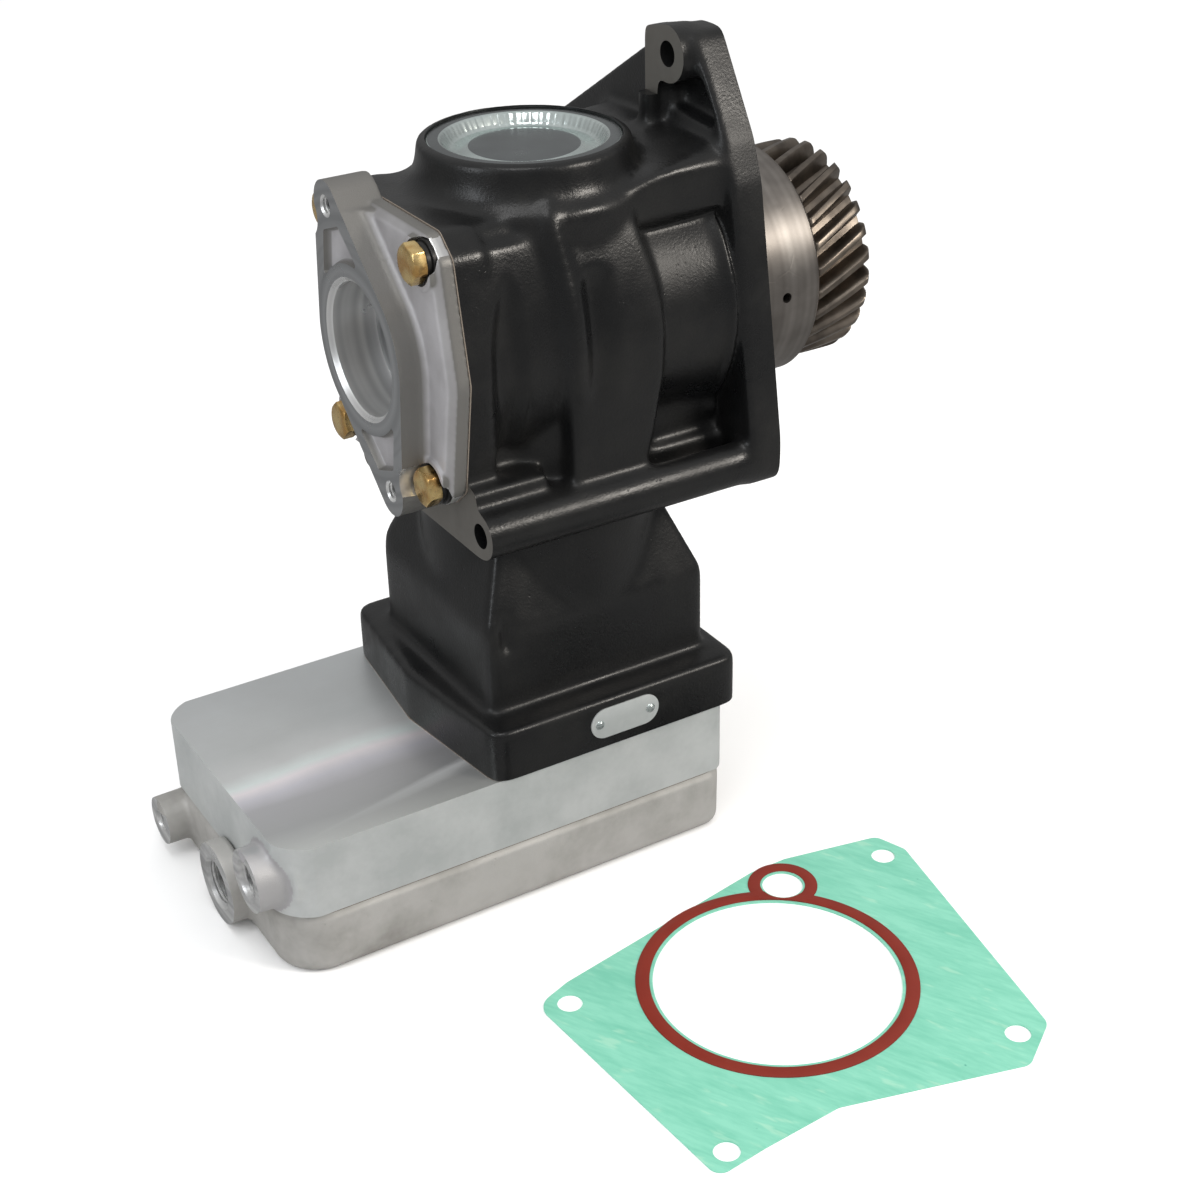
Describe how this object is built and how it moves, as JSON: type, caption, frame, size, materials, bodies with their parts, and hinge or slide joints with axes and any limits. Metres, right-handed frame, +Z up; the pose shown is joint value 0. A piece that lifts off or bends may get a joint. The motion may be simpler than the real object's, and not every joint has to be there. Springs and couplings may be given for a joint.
{
  "type": "air brake compressor",
  "caption": "Gear-driven single-cylinder piston compressor for truck air brakes, with an engine flange, a pump drive, a water-cooled head with threaded ports, and its flange gasket.",
  "frame": {"origin": "centre of the mounting spigot in the plane of the engine flange's machined face", "axes": "+X along the crankshaft from the flange towards the drive gear and the engine, +Z up from the head to the crankcase, +Y to the right seen from the gear"},
  "size_m": [0.3765, 0.4358, 0.415],
  "materials": {
    "black_casting": "cast iron under gloss black paint",
    "zinc_plate": "bright zinc plate",
    "cast_alloy": "as cast, fine grain",
    "milled_alloy": "milled, satin",
    "gasket_paper": "dull fibre",
    "yellow_zinc": "yellow passivated zinc on steel",
    "black_oxide": "black oxide",
    "bright_steel": "ground",
    "gear_steel": "hardened and ground, brown flanks",
    "bearing_bronze": "plain bearing bronze",
    "piston_alloy": "turned",
    "seal_rubber": "matt black",
    "mint_fibre": "pressed fibre, streaked",
    "red_silicone": "printed silicone bead"
  },
  "bodies": {
    "housing": {"crankcase": "black_casting", "core_plug": "zinc_plate", "pump_cover": "cast_alloy", "pump_cover_gasket": "gasket_paper", "cover_bolts": "yellow_zinc", "cover_lock_washers": "black_oxide", "cover_plain_washers": "black_oxide", "front_bearing_outer_race": "bright_steel", "front_bearing_balls": "bright_steel", "front_bearing_circlip": "black_oxide", "rear_bearing_bush": "bearing_bronze", "thrust_washer": "bearing_bronze", "shaft_seal": "seal_rubber", "cylinder_gasket": "gasket_paper", "valve_plate": "milled_alloy", "delivery_reed_stop": "gear_steel", "reed_screws": "bright_steel", "head_gasket": "gasket_paper", "head_cover": "cast_alloy", "head_bolts": "black_oxide", "dowel_pins": "bright_steel", "nameplate": "zinc_plate", "nameplate_rivets": "zinc_plate", "mounting_gasket": "mint_fibre", "gasket_bead": "red_silicone"},
    "crank": {"crankshaft": "bright_steel", "front_bearing_inner_race": "bright_steel", "drive_gear": "gear_steel", "gear_key": "bright_steel", "gear_nut": "bright_steel", "gear_nut_washer": "bright_steel", "pump_drive_dog": "gear_steel"},
    "piston_set": {"piston": "piston_alloy", "top_compression_ring": "gear_steel", "second_compression_ring": "gear_steel", "oil_control_ring": "gear_steel", "wrist_pin": "bright_steel", "pin_circlips": "black_oxide"},
    "rod": {"connecting_rod": "gear_steel", "rod_cap": "gear_steel", "rod_bolts": "black_oxide", "big_end_shells": "bearing_bronze", "small_end_bush": "bearing_bronze", "crankpin": "bright_steel"},
    "inlet_valve": {"inlet_reed": "bright_steel"},
    "delivery_valve": {"delivery_reed": "bright_steel"}
  },
  "joints": [
    {"name": "crank_spin", "type": "hinge", "parent": "housing", "child": "crank", "pos_m": [0, 0, 0], "axis": [1, 0, 0], "continuous": true},
    {"name": "piston_slide", "type": "slide", "parent": "housing", "child": "piston_set", "axis": [0, 0, 1], "range_m": [0, 0.046]},
    {"name": "rod_swing", "type": "hinge", "parent": "piston_set", "child": "rod", "pos_m": [-0.094, 0, -0.169], "axis": [1, 0, 0], "range_deg": [-9.06, 9.06]},
    {"name": "inlet_reed_lift", "type": "hinge", "parent": "housing", "child": "inlet_valve", "pos_m": [-0.125, -0.02, -0.212], "axis": [0, -1, 0], "range_deg": [0, 1.5], "stiffness_Nm_per_rad": 1},
    {"name": "delivery_reed_lift", "type": "hinge", "parent": "housing", "child": "delivery_valve", "pos_m": [-0.125, 0.02, -0.2452], "axis": [0, 1, 0], "range_deg": [0, 1.5], "stiffness_Nm_per_rad": 1}
  ]
}
